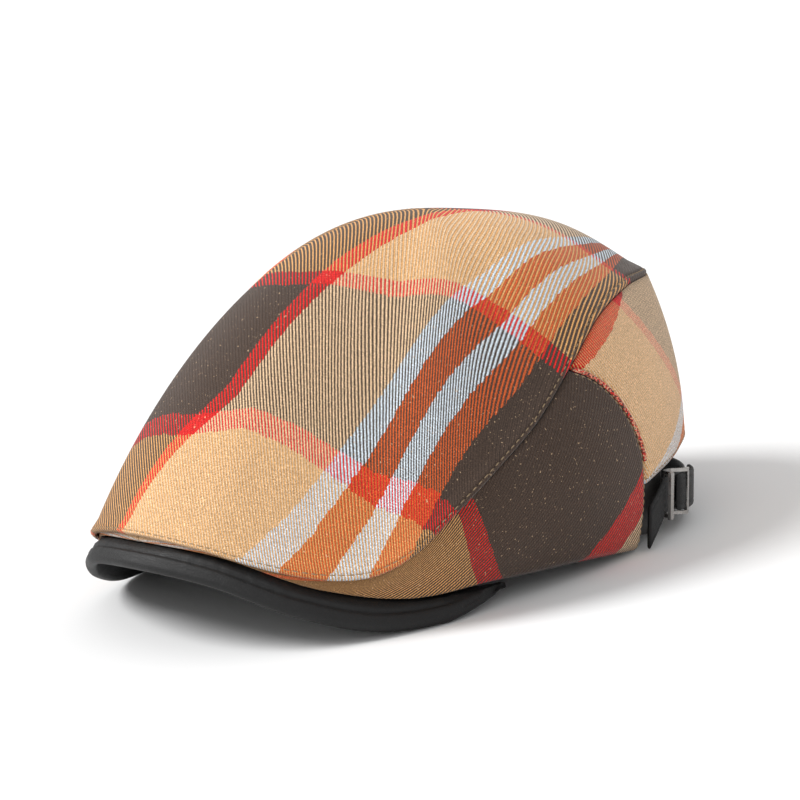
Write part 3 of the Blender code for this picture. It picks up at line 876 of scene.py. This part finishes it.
def strap_loops(bearings, radius, sag=0.0, round_ends=(True, True)):
    """Rounded strap cross-sections with a stitched groove near each edge. sag bows the layer outwards."""
    loops, last = [], len(bearings) - 1
    for i, bearing in enumerate(bearings):
        low, high = strap_edges(bearing)
        near_end = min(i if round_ends[0] else 9, last - i if round_ends[1] else 9)
        half = STRAP / 2 * (0.4, 0.8, 1.0)[min(near_end, 2)]
        shrink = (0.5, 0.12, 0.0)[min(near_end, 2)]
        low, high = low + shrink, high - shrink
        middle = radius + sag * math.sin(math.pi * i / last) ** 0.7
        outer, inner = [], []
        for d in (0.0, 0.3, 0.8, GROOVE - 0.4, GROOVE, GROOVE + 0.4, 3.6):
            h = half * (0.35 if d == 0 else 0.8 if d < 0.5 else 1.0)
            outer.append((low + d, middle + h - (GROOVE_DEPTH if d == GROOVE else 0.0)))
            inner.append((low + d, middle - h))
        mirror = [(low + high - z, r) for z, r in reversed(outer)]
        mirror_inner = [(low + high - z, r) for z, r in reversed(inner)]
        section = outer + mirror + list(reversed(mirror_inner)) + list(reversed(inner))
        loops.append([strap_place(bearing, r, z) for z, r in section])
    return close_loops(np.array(loops))


def strap_stitches(name, start, end, radius, thread, high_side):
    path, ups = [], []
    for bearing in np.linspace(start, end, 60):
        low, high = strap_edges(bearing)
        z = high - GROOVE if high_side else low + GROOVE
        path.append(strap_place(bearing, radius + STRAP / 2 - 0.15, z))
        ups.append(strap_place(bearing, 1.0, 0.0) - strap_place(bearing, 0.0, 0.0))
    make_stitches(name, np.array(path), np.array(ups), thread, pitch=2.6, length=1.8, radius=0.2)


# Bearings of the long strap's free end, of the end of its stitches, and how far the fold runs back.
STRAP_FREE_END = 72.8
STITCHES_END = 32.0
FOLD_SPAN = 23.0


def make_strap(hide, thread):
    widening = list(np.linspace(-STRAP_ROOT, -ROOT_START, 8))
    bearings = widening + list(np.linspace(-ROOT_START, STRAP_FREE_END, 150))[1:]
    piece = make_piece("strap_long_leather", strap_loops(bearings, STRAP_RADIUS), hide, caps=True)
    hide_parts("strap_long")
    outer = STRAP_RADIUS + STRAP_LAYER
    root = strap_loops(np.linspace(ROOT_START, STRAP_ROOT + 1.5, 16), outer, round_ends=(True, False))
    piece = make_piece("strap_root_leather", root, hide, caps=True)
    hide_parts("strap_root_left")
    fold = strap_loops(np.linspace(SLIDE - FOLD_SPAN, SLIDE - 0.8, 40), outer + 0.1, sag=1.6)
    piece = make_piece("strap_fold_leather", fold, hide, "slide", caps=True)
    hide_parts("strap_fold")
    for high_side, word in ((False, "low"), (True, "high")):
        strap_stitches(f"strap_stitch_{word}", -STRAP_ROOT, STITCHES_END, STRAP_RADIUS, thread, high_side)
        strap_stitches(f"root_stitch_{word}", ROOT_START + 0.4, STRAP_ROOT, outer, thread, high_side)


# ---------------------------------------------------------------- scene

# The studio: half the floor's side in metres, its gap under the cap in millimetres, and the light's strengths.
FLOOR, FLOOR_GAP = 6, 0.2
SKY = 0.62
SUN, SUN_SOFTNESS, SUN_TOWARDS = 2.75, 0.45, (0.75, 0.85, -1.15)


def area_light(name, place, target, size, power):
    lamp = bpy.data.lights.new(name, "AREA")
    lamp.shape, lamp.size, lamp.energy = "SQUARE", size, power
    obj = bpy.data.objects.new(name, lamp)
    obj.location = place
    obj.rotation_euler = (Vector(target) - Vector(place)).to_track_quat("-Z", "Y").to_euler()
    bpy.context.scene.collection.objects.link(obj)


def make_studio():
    mesh = bpy.data.meshes.new("floor")
    corners = [(-FLOOR, -FLOOR, 0), (FLOOR, -FLOOR, 0), (FLOOR, FLOOR, 0), (-FLOOR, FLOOR, 0)]
    mesh.from_pydata(corners, [], [(0, 1, 2, 3)])
    floor = bpy.data.objects.new("floor", mesh)
    floor.location.z = -FLOOR_GAP * MM
    n = Nodes("pale_floor")
    soft = n.noise(3.0, 2.0)
    mesh.materials.append(n.finish(n.mix(soft, grey(0.88), grey(0.90)), 0.9))
    bpy.context.scene.collection.objects.link(floor)
    world = bpy.data.worlds.new("studio")
    world.use_nodes = True
    background = world.node_tree.nodes["Background"]
    background.inputs["Color"].default_value = grey(1.0)
    background.inputs["Strength"].default_value = SKY
    bpy.context.scene.world = world
    bpy.context.scene.view_settings.view_transform = "Standard"
    sun = bpy.data.lights.new("key", "SUN")
    sun.energy, sun.angle = SUN, SUN_SOFTNESS
    key = bpy.data.objects.new("key", sun)
    key.rotation_euler = Vector(SUN_TOWARDS).to_track_quat("-Z", "Y").to_euler()
    bpy.context.scene.collection.objects.link(key)
    area_light("fill", (1.4, -1.0, 0.7), (0, 0, 0.06), 1.2, 2)
    area_light("rim", (0.3, 1.5, 1.0), (0, 0, 0.08), 1.0, 3)


# Where the photographer stood, seen from the middle of the head opening, and the lens on a 36 mm sensor.
CAMERA_AZIMUTH, CAMERA_ELEVATION, CAMERA_DISTANCE = 46.9, 9.5, 1000.0
CAMERA_FOCAL, CAMERA_SENSOR = 124.2, 36.0
# How far the lens aims off that middle, as the tangent of the angle.
AIM_RIGHT, AIM_UP = -0.00507, 0.06268


def make_camera():
    azimuth, elevation = math.radians(CAMERA_AZIMUTH), math.radians(CAMERA_ELEVATION)
    back = Vector((math.sin(azimuth) * math.cos(elevation), -math.cos(azimuth) * math.cos(elevation),
                   math.sin(elevation)))
    right = Vector((math.cos(azimuth), math.sin(azimuth), 0.0))
    up = back.cross(right)
    place = back * CAMERA_DISTANCE * MM
    forward = (-back + right * AIM_RIGHT + up * AIM_UP).normalized()
    right = forward.cross(up).normalized()
    up = right.cross(forward)
    turn = Matrix((right, up, -forward)).transposed().to_4x4()
    lens = bpy.data.cameras.new("camera")
    lens.lens, lens.sensor_width = CAMERA_FOCAL, CAMERA_SENSOR
    camera = bpy.data.objects.new("camera", lens)
    camera.matrix_world = STAND @ Matrix.Translation(place) @ turn
    bpy.context.scene.collection.objects.link(camera)
    bpy.context.scene.camera = camera


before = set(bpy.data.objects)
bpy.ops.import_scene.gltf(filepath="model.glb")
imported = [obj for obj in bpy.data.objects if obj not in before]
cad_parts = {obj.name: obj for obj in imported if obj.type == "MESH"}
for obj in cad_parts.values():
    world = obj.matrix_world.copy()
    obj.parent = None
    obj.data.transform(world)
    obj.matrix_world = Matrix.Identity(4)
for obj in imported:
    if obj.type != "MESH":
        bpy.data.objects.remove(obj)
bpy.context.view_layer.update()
make_camera()
make_studio()
THREADS = sewn_thread("beige_thread", THREAD)
HIDE = leather("black_leather_looks", (0.008, 0.0078, 0.008, 1.0), 1.3, (0.46, 0.66))
DARK_HIDE = leather("dark_facing", (0.03, 0.027, 0.025, 1.0), 0.7, (0.5, 0.7))
DARK_THREAD = sewn_thread("black_thread", (0.02, 0.02, 0.02, 1.0))
make_top(plaid("plaid_top", TOP_WARP, TOP_WEFT, 1.45), THREADS)
SIDE_CLOTH = plaid("plaid_side", SIDE_WARP, SIDE_WEFT, 1.25)
SEAM_THREADS = mixed_threads("seam_threads")
for SIDE, WORD in ((1, "left"), (-1, "right")):
    make_side(SIDE, WORD, SIDE_CLOTH, THREADS)
    make_seam_cord(SIDE, WORD, SEAM_THREADS)
make_back(plaid("plaid_back", BACK_WARP, BACK_WEFT, 1.2, 0.12), THREADS)
make_lining(satin("lining_satin_looks", (0.02, 0.02, 0.024, 1.0)))
make_bands(DARK_HIDE, satin("label_cloth_looks", (0.6, 0.58, 0.54, 1.0)))
make_visor(HIDE)
make_strap(HIDE, DARK_THREAD)

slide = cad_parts["slide_buckle"]
slide.data.materials.clear()
slide.data.materials.append(brushed("gunmetal_looks", (0.42, 0.40, 0.38, 1.0)))
rounded = slide.modifiers.new("edges", "BEVEL")
rounded.width, rounded.segments, rounded.limit_method = 0.35 * MM, 3, "ANGLE"
